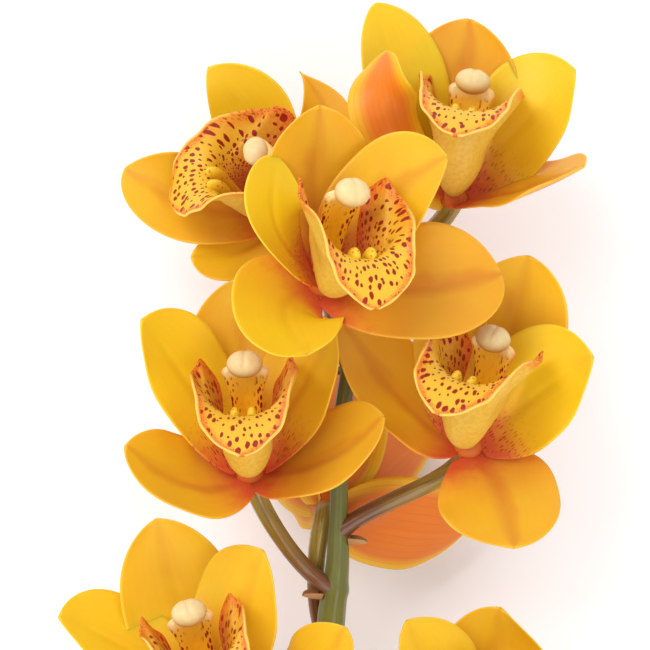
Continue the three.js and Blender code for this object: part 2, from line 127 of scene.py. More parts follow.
BLOOMS = [
    new_bloom(
        (-1, 14.3, 86), (0.33, 0.42, 0.85), (-0.18, 0.9, -0.4), 10,
        blade((-3, 31, 2), (-0.7, 59.5, 13), 0.55, wide=43),
        blade((-15.5, 19, 18.5), (-14.5, 42, 14), 0, wide=30, roll=0.4, hook=0),
        blade((20, 26, 6), (42, 42, 17), 0.45),
        blade((-12.5, -9, 10.5), (-5, -24, 27), 0.1, wide=41, cup=0.3, blunt=0.32, hook=0),
        blade((32, -2, 7), (61, 3, 2), 0.8, wide=44),
    ),
    new_bloom(
        (44.8, 44.5, 60), (0.1, 0.845, 0.52), (0.18, 0.5, -0.83), 14,
        blade((2, 32, -8), (6, 63, -5), 0.75, wide=44),
        blade((-17, 31, 2), (-27, 68, 2), 0, wide=36),
        blade((24, 25, 0), (42, 44, 8), 0, wide=37, roll=0.5),
        blade((-22, 24, 18), (-23, 49, 24), 0.3, wide=25, cup=0.2, roll=2.3, blunt=0.3),
        blade((24, 2, 14), (43, 9.5, 30), 0.7, wide=34),
    ),
    new_bloom(
        (-14, 40.5, 47.5), (-0.6, 0.4, 0.69), (0.72, 0.48, 0.5), -14,
        blade((15, 25.5, -2), (5, 49.5, -2), 0.5, wide=22, roll=0.5, blunt=1.5),
        blade((-9, 27.5, 3), (-27, 49.5, 13), 0, wide=34, blunt=0.75),
        blade((17, -6.5, -8), (19, -16.5, -30), 0.3, wide=28),
        blade((-31, 1.5, 2), (-56, 14.5, 10), 0.5, wide=32),
        blade((-15, -14, 1), (-33, -16.5, 7), 0.3, wide=21, roll=-0.5),
        size=0.88,
    ),
    new_bloom(
        (-26, -51.2, 66), (-0.04, 0.707, 0.707), (0, 0.707, -0.707), -93,
        blade((-2, 34, -11), (-2, 68, -7), 0.4, wide=43),
        blade((-21, 30, 3), (-37, 53, 12), 0.05),
        blade((18, 30, 3), (29, 52, 12), 0.35),
        blade((-20, -4, 10), (-42, 10, 22), 0.5),
        blade((25, 4, 11), (46, 20, 24), 0.65),
        sag=(-2, -9, 4),
    ),
    new_bloom(
        (49.6, -42, 70), (0.02, 0.74, 0.67), (0.47, 0.61, -0.64), -73,
        blade((14, 34, -10), (21.5, 66, -6), 0.35, wide=44),
        blade((-6, 31, -8), (-8, 62, -5), 0.3, wide=28, roll=-0.4),
        blade((23, 17, 3), (42, 31, 14), 0, wide=40, roll=0.4),
        blade((-20, 13, -4), (-43.5, 42, -6.5), 0.6, wide=39, roll=0.1),
        blade((10.5, -17, 14), (14, -33, 30), 0.65, wide=43, cup=0.15, hook=0.2),
        sag=(0, 3, 0),
    ),
    new_bloom(
        (-38, -136, 65), (-0.12, 0.72, 0.69), (-0.28, 0.68, -0.69), -156,
        blade((-12, 34, -11), (-21, 68, -6), 0.25, wide=43),
        blade((-28, 21, 0), (-54, 35, 8), 0.1),
        blade((9, 34, 2), (16.5, 58, 8), 0.25),
        blade((-25, -11, 11), (-48, -8, 24), 0.3),
        blade((29, 10, 14), (45, 33, 25), 0.3),
    ),
    new_bloom(
        (63, -156, 57), (0, 0.72, 0.69), (0.1, 0.69, -0.72), -177,
        blade((-3, 29, -13), (-1, 56, -6), 0.3, wide=43),
        blade((-21, 26, 2), (-34.5, 53, 8), 0.2),
        blade((24, 18, 4), (46, 30, 14), 0.15),
        blade((-23, -9, 13), (-44, -4, 27), 0.3),
        blade((22, -11, 14), (43, -8, 28), 0.4),
    ),
    new_bloom(
        (0.4, -65.7, 46), (0.2, 0.3, -0.93), (-0.1, 0.96, 0.1), -113,
        blade((3, 29, -14), (7, 52, -46.3), 0.3),
        blade((22, 16, -10), (43, 33, -46.3), 0.3, wide=32),
        blade((-16, 19, -17), (-27, 37, -43), 0.3, wide=32),
        blade((27, -7, -7), (50, -9, -24), 0.5, wide=39),
        blade((-13, 6, -20), (-24, 12, -46.3), 0.4, wide=27),
        size=0.86, sag=(-8, -2, -14),
    ),
]
print("blooms:", len(BLOOMS))

# %% The lip, the column and the cap, alike in every bloom
# The points of the two lines are offsets up and forward of the bloom's heart.
LIP_LINE = [(-3.6, 3.2), (-8.6, 8), (-10.5, 18), (-10, 30), (-9.5, 37), (-14.5, 41), (-28, 39)]
LIP_SHAPE = [  # share of the length, half the width, radius of the floor, angle of the walls, reach ahead
    (0, 5, 3.6, 1.2, 0),
    (0.24, 25, 7.8, 1.5, 1),
    (0.35, 35, 8.2, 1.5, 3),
    (0.44, 39.5, 9.5, 1.42, 4.5),
    (0.49, 40.5, 11, 1.4, 6),
    (0.53, 38, 12.5, 1.36, 7.5),
    (0.58, 31.5, 14, 1.2, 8),
    (0.62, 24.5, 16, 1.05, 6.5),
    (0.66, 18, 22, 0.9, 3.5),
    (0.73, 16, 34, 0.7, 0.5),
    (0.82, 14, 44, 0.6, 0),
    (0.91, 9.6, 50, 0.5, 0),
    (0.97, 5, 50, 0.5, 0),
    (1, 1.6, 50, 0.5, 0),
]
COLUMN_LINE = [(2.2, 4.3), (8.5, 12), (13.5, 22), (15.5, 31), (15, 37)]
COLUMN_SHAPE = [(0, 4.2, 3.8), (0.6, 5.6, 3.4), (1, 9, 3)]  # share, half the width, half the depth
CAP_CENTRE = (0, 15, 38.5)
CAP_RADII = (6.2, 5.2, 4.4)

# %% [markdown]
# ## Walking along a smooth line
#
# A line through given points could be a Bezier curve object. Here the pieces need to ask for the point and
# the direction at any share of the length, so a small class walks the line and remembers how far it has
# come. It draws a centripetal Catmull-Rom curve, which never loops where points lie close together.


# %% A line with a point for any share of its length
def between(a, b, share):
    """The value at that share of the way from a to b."""
    return a + (b - a) * share


def catmull_rom(four, share):
    """The point at that share of the way from the second of four points to the third."""
    knots = [0]
    for a, b in zip(four, four[1:]):
        knots.append(knots[-1] + math.sqrt((b - a).length))
    at = between(knots[1], knots[2], share)
    points = list(four)
    for spans in [((0, 1), (1, 2), (2, 3)), ((0, 2), (1, 3)), ((1, 2),)]:
        points = [
            points[i].lerp(points[i + 1], (at - knots[a]) / (knots[b] - knots[a]))
            for i, (a, b) in enumerate(spans)
        ]
    return points[0]


class Line:
    """A smooth line, walked by the share of its length."""

    def __init__(self, points):
        self.points = points
        self.walked = [0]
        for a, b in zip(points, points[1:]):
            self.walked.append(self.walked[-1] + (b - a).length)
        self.length = self.walked[-1]

    @classmethod
    def through(cls, places, steps=24):
        """The smooth line through these places."""
        ends = [places[0] * 2 - places[1], *places, places[-1] * 2 - places[-2]]
        points = [
            catmull_rom(ends[i:i + 4], step / steps) for i in range(len(places) - 1) for step in range(steps)
        ]
        return cls([*points, places[-1]])

    @classmethod
    def bezier(cls, *corners, steps=64):
        """The Bezier curve with these corners."""
        points = []
        for step in range(steps + 1):
            row = list(corners)
            while len(row) > 1:
                row = [a.lerp(b, step / steps) for a, b in zip(row, row[1:])]
            points.append(row[0])
        return cls(points)

    def find(self, share):
        """The stretch that holds this share of the length, and how far along it."""
        goal = min(max(share, 0), 1) * self.length
        i = min(max(bisect_left(self.walked, goal), 1), len(self.points) - 1)
        return i, (goal - self.walked[i - 1]) / (self.walked[i] - self.walked[i - 1])

    def at(self, share):
        i, part = self.find(share)
        return self.points[i - 1].lerp(self.points[i], part)

    def way(self, share):
        """The direction of travel, smoothed over the neighbouring stretches."""
        i, part = self.find(share)
        before = self.points[i] - self.points[max(i - 2, 0)]
        after = self.points[min(i + 1, len(self.points) - 1)] - self.points[i - 1]
        return before.normalized().lerp(after.normalized(), part).normalized()


def along_table(table, share):
    """The row of a table at that share, smoothly between its rows. The first column is the share."""
    i = 1
    while i < len(table) - 1 and table[i][0] < share:
        i += 1
    part = min(max((share - table[i - 1][0]) / (table[i][0] - table[i - 1][0]), 0), 1)
    rows = [table[max(i - 2, 0)], table[i - 1], table[i], table[min(i + 1, len(table) - 1)]]
    span = rows[2][0] - rows[1][0]
    values = []
    for k in range(1, len(table[0])):
        slope_in = span * (rows[2][k] - rows[0][k]) / (rows[2][0] - rows[0][0])
        slope_out = span * (rows[3][k] - rows[1][k]) / (rows[3][0] - rows[1][0])
        p2, p3 = part * part, part ** 3
        values.append(
            (2 * p3 - 3 * p2 + 1) * rows[1][k] + (p3 - 2 * p2 + part) * slope_in
            + (3 * p2 - 2 * p3) * rows[2][k] + (p3 - p2) * slope_out
        )
    return values


stem_line = Line.through([Vector(row[:3]) for row in STEM_LINE])


def stem_share(y):
    """The share of the stem's length at which it passes y."""
    low, high = 0, 1
    for _ in range(30):
        middle = (low + high) / 2
        if stem_line.at(middle).y < y:
            low = middle
        else:
            high = middle
    return low


stem_girth = [(stem_share(row[1]), row[3]) for row in STEM_LINE]
print("the stem is", round(stem_line.length), "mm long")


# %% A bloom's own axes
def bloom_axes(bloom):
    """Right, up and forward as a viewer of the bloom has them."""
    forward = Vector(bloom["face"]).normalized()
    right = Vector(bloom["up"]).cross(forward).normalized()
    return right, forward.cross(right), forward


def on_bloom(bloom, offsets):
    """The point at these offsets right, up and forward of the heart."""
    place = Vector(bloom["heart"])
    for axis, offset in zip(bloom_axes(bloom), offsets):
        place = place + axis * offset * bloom.get("size", 1)
    return place


lowest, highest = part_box("bloom_1_cap")
SHIFT = (lowest + highest) / (2 * MM) - on_bloom(BLOOMS[0], CAP_CENTRE)
SHIFT.z = 0
print("the part's origin lies at", [round(-x, 2) for x in SHIFT], "on these lines")

# %% [markdown]
# ## Sheets and tubes
#
# A petal is a sheet and a stalk is a tube, and both can start from a flat grid. The grid's own x and y tell
# every vertex where it is across and along the piece, and a formula carries it to its place in the plant.
# Two attributes remember what the skin will need: `share`, the place on the piece as shares, and `lay`, the
# same place in millimetres. A tube is a grid rolled up, with its seam merged and its ends filled. Solidify
# then gives a sheet its flesh, thin at the margin.

# %% Grid, sheet and tube
SEAM_REACH = 1e-7  # corners of a rolled grid that lie closer than this are one, in metres


def new_bmesh():
    """A bmesh with the layers that the skins read."""
    bm = bmesh.new()
    for name in ("share", "lay"):
        bm.verts.layers.float_vector.new(name)
    for name in ("amber_and_shade", "dotted"):
        bm.verts.layers.float.new(name)
    bm.verts.layers.deform.verify()
    return bm


def write_vertex(bm, vert, place, share, lay, amber_and_shade=0, flesh=1, dotted=0):
    """Moves a vertex to its place in the plant and keeps its values for the skin."""
    vert.co = (place + SHIFT) * MM
    vert[bm.verts.layers.float_vector["share"]] = share
    vert[bm.verts.layers.float_vector["lay"]] = lay
    vert[bm.verts.layers.float["amber_and_shade"]] = amber_and_shade
    vert[bm.verts.layers.float["dotted"]] = dotted
    vert[bm.verts.layers.deform.active][0] = flesh


def add_sheet(bm, place, columns, rows, seed, amber_and_shade=0, dotted=0):
    """A sheet. place(u, w) gives a point, the share along, half the width and the length there."""
    for vert in bmesh.ops.create_grid(bm, x_segments=columns, y_segments=rows, size=1)["verts"]:
        u, w = vert.co.x, (vert.co.y + 1) / 2
        point, v, half, length = place(u, w)
        lay = (u * half, v * length, (1 - abs(u)) * half)
        write_vertex(bm, vert, point, (u, v, seed), lay, amber_and_shade, 1 - u * u, dotted)


def add_tube(bm, line, section, normal, sides, rings):
    """A closed tube. section(s, cos, sin) gives the offsets across and up of a point of its skin."""
    grid = bmesh.ops.create_grid(bm, x_segments=sides, y_segments=rings, size=1)["verts"]
    for vert in grid:
        turn, s = math.pi * vert.co.x, (vert.co.y + 1) / 2
        cos, sin = math.cos(turn), math.sin(turn)
        along = line.way(s)
        across = along.cross(normal).normalized()
        a, b = section(s, cos, sin)
        point = line.at(s) + across * a + across.cross(along) * b
        write_vertex(bm, vert, point, (cos, sin, s), (a, b, s * line.length))
    bmesh.ops.remove_doubles(bm, verts=grid, dist=SEAM_REACH)
    rims = [edge for edge in bm.edges if edge.is_boundary]
    bmesh.ops.holes_fill(bm, edges=rims, sides=0)
    bmesh.ops.recalc_face_normals(bm, faces=bm.faces)


def new_object(name, data):
    made = bpy.data.objects.new(name, data)
    bpy.context.scene.collection.objects.link(made)
    return made


def finish_piece(bm, name, node, skins, flesh=None):
    """Makes the object that stands for a node. flesh is the thickness of a sheet's middle and margin."""
    mesh = bpy.data.meshes.new(name)
    bm.to_mesh(mesh)
    bm.free()
    for skin in skins:
        mesh.materials.append(skin)
    mesh.shade_smooth()
    piece = new_object(name, mesh)
    if flesh:
        piece.vertex_groups.new(name="flesh")
        solidify = piece.modifiers.new("flesh", "SOLIDIFY")
        solidify.thickness = flesh[0] * MM
        solidify.offset = 0
        solidify.vertex_group = "flesh"
        solidify.thickness_vertex_group = flesh[1] / flesh[0]
        solidify.use_quality_normals = True
        solidify.material_offset = 1
    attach(piece, "root")
    if node:
        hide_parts(node)
    return piece


# %% [markdown]
# ## Colours and the desk that wires them
#
# Colours are written as a painter mixes them for the screen, six digits, and turned into the linear values
# that light works with. The desk below only saves typing: it puts nodes on a tree, and fills or links their
# inputs.


# %% Colours
def paint(digits):
    """A linear colour from six screen digits."""
    parts = [int(digits[i:i + 2], 16) / 255 for i in (0, 2, 4)]
    linear = [p / 12.92 if p <= 0.04045 else ((p + 0.055) / 1.055) ** 2.4 for p in parts]
    return (*linear, 1)


GOLD = paint("DEB91A")
AMBER = paint("D29020")
RUST = paint("BE641C")
PALE_RIM = paint("EBCB58")
BLUSH = paint("C0402A")
MAROON = paint("8C1A08")


# %% The desk
class Desk:
    """Puts nodes on one tree. place is the socket that says where a point lies, in millimetres."""

    def __init__(self, tree):
        self.tree = tree

    def node(self, kind, inputs=None, **settings):
        made = self.tree.nodes.new("ShaderNode" + kind)
        for name, value in settings.items():
            setattr(made, name, value)
        for name, value in (inputs or {}).items():
            self.feed(made.inputs[name], value)
        return made

    def feed(self, socket, value):
        """Links what is a socket itself and writes down what is a plain value."""
        if isinstance(value, bpy.types.NodeSocket):
            self.tree.links.new(value, socket)
        else:
            socket.default_value = value

    def math(self, operation, *values, clamp=False):
        return self.node("Math", dict(enumerate(values)), operation=operation, use_clamp=clamp).outputs[0]

    def plus(self, a, b):
        return self.math("ADD", a, b)

    def minus(self, a, b):
        return self.math("SUBTRACT", a, b)

    def times(self, a, b):
        return self.math("MULTIPLY", a, b)

    def band(self, value, low, high, low_value=0, high_value=1):
        """Runs smoothly from low_value at low to high_value at high."""
        ends = {"Value": value, "From Min": low, "From Max": high, "To Min": low_value, "To Max": high_value}
        return self.node("MapRange", ends, interpolation_type="SMOOTHSTEP").outputs["Result"]

    def mix(self, share, a, b):
        """The colour at that share of the way from a to b."""
        return self.node("Mix", {"Factor": share, 6: a, 7: b}, data_type="RGBA").outputs[2]

    def join(self, x, y, z=0):
        return self.node("CombineXYZ", {"X": x, "Y": y, "Z": z}).outputs[0]

    def split(self, vector):
        return list(self.node("SeparateXYZ", {"Vector": vector}).outputs)

    def attribute(self, name):
        """A number kept on the vertices."""
        return self.node("Attribute", attribute_name=name).outputs["Fac"]

    def parts(self, name):
        """The three parts of a vector kept on the vertices."""
        return self.split(self.node("Attribute", attribute_name=name).outputs["Vector"])

    def noise(self, size, detail=2, place=None):
        """Soft noise from 0 to 1 whose patches are about size across."""
        place = self.place if place is None else place
        return self.node("TexNoise", {"Vector": place, "Scale": 1 / size, "Detail": detail}).outputs["Fac"]

    def group(self, tree, place=None, **inputs):
        place = self.place if place is None else place
        made = self.node("Group", {"Place": place}, node_tree=tree)
        for name, value in inputs.items():
            self.feed(made.inputs[name.capitalize()], value)
        return made.outputs


def new_group(name, inputs, *outputs):
    """A node group that starts from a place, with its desk, its given sockets and its result sockets."""
    tree = bpy.data.node_groups.new(name, "ShaderNodeTree")
    tree.interface.new_socket("Place", in_out="INPUT", socket_type="NodeSocketVector")
    for label, value in inputs.items():
        socket = tree.interface.new_socket(label, in_out="INPUT", socket_type="NodeSocketFloat")
        socket.default_value = value
    for label in outputs:
        kind = "Vector" if label == "Normal" else "Float"
        tree.interface.new_socket(label, in_out="OUTPUT", socket_type="NodeSocket" + kind)
    desk = Desk(tree)
    given = tree.nodes.new("NodeGroupInput").outputs
    desk.place = given["Place"]
    return tree, desk, given, tree.nodes.new("NodeGroupOutput").inputs


# %% [markdown]
# ## Effects that several skins share
#
# Veins run along every sepal, petal, sheath and bract. They could be painted by hand on a map, but a
# ping-pong of the place across the blade draws any number of them, and they run together at its base and
# tip as real ones do. Spots are the cells of a Voronoi texture, each with a size of its own. The third
# effect is the fine pebbled skin of living cells, which breaks up the highlights.

# %% Veins
inputs = {"Across": 0, "Count": 9}
veins_group, desk, given, result = new_group("long veins", inputs, "Vein", "Fine vein")
waver = desk.times(desk.minus(desk.noise(9), 0.5), 0.05)
across = desk.plus(given["Across"], waver)
for label, times, width in [("Vein", 1, 0.3), ("Fine vein", 3, 0.55)]:
    lines = desk.times(across, desk.times(given["Count"], times))
    saw = desk.times(desk.math("PINGPONG", lines, 0.5), 2)
    desk.feed(result[label], desk.band(saw, 0, width, 1, 0))


# %% Spots, in the flesh or flat on a blade
def spots(name, dimensions):
    """Round spots. size is a spot's reach as a share of the spacing, rough how far its edge strays."""
    inputs = {"Spacing": 2, "Size": 0.3, "Rough": 0.1}
    tree, desk, given, result = new_group(name, inputs, "Spot")
    wobble = desk.node("TexNoise", {"Vector": desk.place, "Scale": 1.3, "Detail": 1}).outputs["Color"]
    wobble = desk.node("VectorMath", {0: wobble, 1: (0.5, 0.5, 0.5)}, operation="SUBTRACT").outputs[0]
    wobble = desk.node("VectorMath", {0: wobble, "Scale": given["Rough"]}, operation="SCALE").outputs[0]
    place = desk.node("VectorMath", {0: desk.place, 1: wobble}, operation="ADD").outputs[0]
    scale = desk.math("DIVIDE", 1, given["Spacing"])
    inputs = {"Vector": place, "Scale": scale, "Randomness": 0.7}
    cells = desk.node("TexVoronoi", inputs, voronoi_dimensions=dimensions)
    chance = desk.split(cells.outputs["Color"])[0]
    reach = desk.times(given["Size"], desk.band(chance, 0, 1, 0.5, 1.15))
    inner = desk.times(reach, 0.75)
    desk.feed(result["Spot"], desk.band(cells.outputs["Distance"], inner, reach, 1, 0))
    return tree


spots_group = spots("spots", "3D")
flat_spots_group = spots("flat spots", "2D")

# %% Living skin
inputs = {"Height": 0, "Strength": 0.3}
skin_group, desk, given, result = new_group("living skin", inputs, "Normal")
cells = desk.node("TexVoronoi", {"Vector": desk.place, "Scale": 2.6}).outputs["Distance"]
height = desk.plus(desk.times(cells, 0.012), desk.times(desk.noise(2.2, 3), 0.06))
height = desk.plus(height, given["Height"])
bump = desk.node("Bump", {"Height": height, "Strength": given["Strength"], "Distance": MM})
desk.feed(result["Normal"], bump.outputs[0])
print("groups:", [tree.name for tree in bpy.data.node_groups])


# %% A material and its desk
class Skin(Desk):
    """The desk of one material. soft is how much light sinks in."""

    def __init__(self, name, roughness=0.5, soft=0, coat=0):
        self.material = bpy.data.materials.new(name)
        self.material.use_nodes = True
        self.material.node_tree.nodes.clear()
        super().__init__(self.material.node_tree)
        shader = self.node("BsdfPrincipled", {"Roughness": roughness, "Coat Weight": coat})
        self.node("OutputMaterial", {"Surface": shader.outputs[0]})
        self.inputs = shader.inputs
        self.inputs["Coat Roughness"].default_value = 0.3
        self.inputs["Specular IOR Level"].default_value = 0.3
        if soft:
            self.inputs["Subsurface Weight"].default_value = soft
            self.inputs["Subsurface Radius"].default_value = (1, 0.45, 0.12)
            self.inputs["Subsurface Scale"].default_value = 2.5 * MM

    @cached_property
    def place(self):
        place = self.node("TexCoord").outputs["Object"]
        return self.node("Mapping", {"Vector": place, "Scale": (1 / MM, 1 / MM, 1 / MM)}).outputs[0]

    def dress(self, colour, relief, height=0, painted_glow=0):
        """Wires the colour and the pebbled relief. painted_glow is painted light: an emission in the skin's
        colour that stands in for light coming through thin flesh.
        """
        self.feed(self.inputs["Base Color"], colour)
        # Painted light: the skin emits its own colour.
        if painted_glow:
            self.feed(self.inputs["Emission Color"], colour)
            self.inputs["Emission Strength"].default_value = painted_glow
        self.feed(self.inputs["Normal"], self.group(skin_group, height=height, strength=relief)["Normal"])
        return self.material


# %% [markdown]
# ## The skin of a sepal or petal
#
# A golden bloom isn't one yellow. It is clear gold towards the tip and amber towards the heart, the back is
# more orange than the front and shows its veins, the margin is a thin pale line, and a red blush with rows
# of maroon dots sits at the base, beside the lip. Front and back are two materials of one sheet: Solidify
# gives the second one to the far side.

# %% Front and back of a sepal or petal
BACK_ORANGE = paint("DA7A18")
BACK_AMBER = paint("CC6A1A")
BLADE_VEINS = 6  # on each half
BLADE_DOTS = {"spacing": 1.15, "size": 0.24, "rough": 0.15}


def tepal_skin(name, front):
    desk = Skin(name, soft=0.35)
    u, v, seed = desk.parts("share")
    x, y, rim = desk.parts("lay")
    veins = desk.group(veins_group, across=u, count=BLADE_VEINS)
    patch = desk.minus(desk.noise(16), 0.5)
    stray = desk.times(patch, 0.5)
    amber = desk.plus(desk.band(v, 0, 0.65, 0.7, 0), stray)
    # Each blade's own amber is added: partly its own tone and partly painted shade on blades that lie in
    # shade.
    amber = desk.math("ADD", amber, desk.attribute("amber_and_shade"), clamp=True)
    if front:
        # A rust band along the midrib, strongest where the blade is amber: partly its own colour and partly
        # painted shade in the hollow of the cupped blade.
        off_middle = desk.band(desk.math("ABSOLUTE", desk.plus(u, stray)), 0.02, 0.3)
        midrib_band_and_shade = desk.times(desk.minus(1, off_middle), desk.times(amber, 0.6))
        colour = desk.mix(midrib_band_and_shade, desk.mix(amber, GOLD, AMBER), RUST)
        colour = desk.mix(desk.times(veins["Vein"], 0.04), colour, RUST)
        near = desk.plus(v, desk.times(desk.noise(4, 3), 0.16))
        colour = desk.mix(desk.band(near, 0.12, 0.42, 0.9, 0), colour, BLUSH)
        # The seed moves every blade to other dots.
        rows = desk.join(x, desk.plus(desk.times(y, 0.6), desk.times(seed, 31)))
        dots = desk.group(flat_spots_group, rows, **BLADE_DOTS)["Spot"]
        reach = desk.times(desk.band(near, 0.2, 0.5, 0.75, 0), desk.attribute("dotted"))
        colour = desk.mix(desk.times(dots, reach), colour, MAROON)
    else:
        edge = desk.band(rim, 1, 7, 0.75, 0)
        colour = desk.mix(edge, desk.mix(amber, BACK_ORANGE, BACK_AMBER), GOLD)
        colour = desk.mix(desk.times(veins["Vein"], 0.3), colour, RUST)
    fine = desk.times(desk.band(rim, 0.1, 0.8, 0.16, 0), desk.band(v, 0.3, 0.5))
    ridges = desk.times(desk.plus(veins["Vein"], veins["Fine vein"]), 0.008 if front else 0.03)
    desk.feed(desk.inputs["Roughness"], desk.band(patch, -0.2, 0.2, 0.42, 0.55))
    # A faint glow in the skin's own colour is painted light, standing in for light that comes through the
    # thin blades.
    return desk.dress(desk.mix(fine, colour, PALE_RIM), relief=0.3, height=ridges, painted_glow=0.06)


tepal_skins = [tepal_skin("tepal_front", True), tepal_skin("tepal_back", False)]

# %% [markdown]
# ## Sepals and petals
#
# All five blades follow one formula. A midrib bends from the heart through its middle to its tip, the
# outline widens quickly to a belly and closes in a blunt point, and each half cups forward along an arc.
# Real margins are never still, so a slow ripple grows towards them, and the midrib lies in a shallow
# channel. The five blades and the small heart that joins them are one piece.

# %% Blade by formula
BLADE_COLUMNS, BLADE_ROWS = 32, 60
BLADE_FLESH = (1.3, 0.45)  # thickness in its middle and at its margin
BLADE_BASE, BLADE_BELLY = 0.36, 0.5  # its width at the heart, and where it is widest
RIPPLE = 1.2  # how far a margin swings to each side
RIPPLES = 1.6  # swings along one margin
OUT_OF_STEP = 1.9  # how far one margin's swings run ahead of the other's, in radians
CHANNEL, CHANNEL_REACH = 0.45, 1.6  # depth of the midrib's channel, and how far it spreads


def blade_outline(v, blunt):
    """Half the width at the share v of the length, as a share of the widest."""
    if v < BLADE_BELLY:
        return between(BLADE_BASE, 1, math.sin((v / BLADE_BELLY) ** 0.8 * math.pi / 2))
    past = (v - BLADE_BELLY) / (1 - BLADE_BELLY)
    return max(0.012, (1 - past ** 2.5) ** blunt)


def blade_place(bloom, form, seed):
    """The formula of one sepal or petal."""
    forward = bloom_axes(bloom)[2]
    heart, mid, tip = Vector(bloom["heart"]), Vector(form["mid"]), Vector(form["tip"])
    outward = (mid - forward * mid.dot(forward)).normalized()
    start, end = heart + outward * HEART_RADIUS * 0.5 + forward * form["layer"], heart + tip
    control = (heart + mid) * 2 - start * 0.5 - end * 0.5
    cup, roll = form["cup"], form.get("roll", 0)
    length = (control - start).length * 0.5 + (end - control).length * 0.5

    def place(u, w):
        v = 1 - (1 - w) ** 1.4  # rows lie closer towards the tip
        point = start * (1 - v) ** 2 + control * 2 * v * (1 - v) + end * v * v
        along = ((control - start) * (1 - v) + (end - control) * v).normalized()
        front = (forward - along * along.dot(forward)).normalized()
        front = Matrix.Rotation(roll, 3, along) @ front
        side = along.cross(front)
        half = form["wide"] / 2 * blade_outline(v, form["blunt"])
        turn = cup * (u + form["hook"] * v * v * u * u)
        swing = math.sin(TAU * (RIPPLES * v + seed * 0.37) + (OUT_OF_STEP if u > 0 else 0))
        lift = RIPPLE * abs(u) ** 3 * swing * math.sin(math.pi * min(v * 1.1, 1))
        lift -= CHANNEL * math.exp(-(u * half / CHANNEL_REACH) ** 2) * math.sin(math.pi * min(v * 1.05, 1))
        point = point + side * (half / cup) * math.sin(turn)
        point = point + front * ((half / cup) * (1 - math.cos(turn)) + lift)
        return point, v, half, length

    return place


# %% Sepals and petals of every bloom
HEART_RADII = (4.5, 4.5, 3)
PETAL_DOTS, SEPAL_DOTS = 1, 0.15  # how plainly the dots at the base show
NO_RIM = 9  # stands for a place that is far from any margin


def add_heart(bm, bloom):
    """The small egg that joins the blades, turned as its bloom is."""
    for vert in bmesh.ops.create_uvsphere(bm, u_segments=24, v_segments=12, radius=1)["verts"]:
        x, y, _ = vert.co
        offsets = [radius * q for radius, q in zip(HEART_RADII, vert.co)]
        write_vertex(bm, vert, on_bloom(bloom, offsets), (0, 0.2, 0), (x, y, NO_RIM), 1)


for number, bloom in enumerate(BLOOMS, start=1):
    bm = new_bmesh()
    add_heart(bm, bloom)
    for order, (name, form) in enumerate(BLADE_FORM.items()):
        form = {**form, **bloom[name]}
        seed = number + order * 0.61
        dotted = PETAL_DOTS if name.startswith("petal") else SEPAL_DOTS
        add_sheet(bm, blade_place(bloom, form, seed), BLADE_COLUMNS, BLADE_ROWS, seed, form["amber_and_shade"], dotted)
    finish_piece(
        bm, f"bloom_{number}_sepals_and_petals", f"bloom_{number}_tepals", tepal_skins, BLADE_FLESH
    )
print("sepals and petals:", len(BLOOMS) * len(BLADE_FORM))

# %% [markdown]
# ## The lip's skin
#
# The lip is where the insect lands, and it is marked for it. Its inner face is yellow, and rows of maroon
# spots fan out from the throat: short streaks deep inside, round blots on the middle lobe. That fan is drawn
# in polar coordinates round the throat, with the logarithm of the distance, so spots grow as they go out.
# The side lobes have an orange, stippled margin and the middle lobe a pale rim. The outer face is plain.

# %% Inner and outer face of a lip
LIP_YELLOW = paint("D6A82C")
LIP_OUTER = paint("C89C36")
LIP_ORANGE = paint("D65E1A")
LIP_RIM = paint("E6C45C")
# The throat's red-brown: partly the lip's own red and partly painted shade in the hollow.
THROAT_RED_AND_SHADE = paint("A8442A")
FAN_ALONG = 19  # how far along the lip its spots fan out from
FAN_START = 3  # how far from there the first spots lie
FAN_TURN, FAN_RINGS = 12, 8  # spots to a radian, and rings to each e-fold of the distance
LIP_SPOTS = {"spacing": 1, "size": 0.33, "rough": 0.45}
LIP_STIPPLE = {"spacing": 0.85, "size": 0.36, "rough": 0.2}


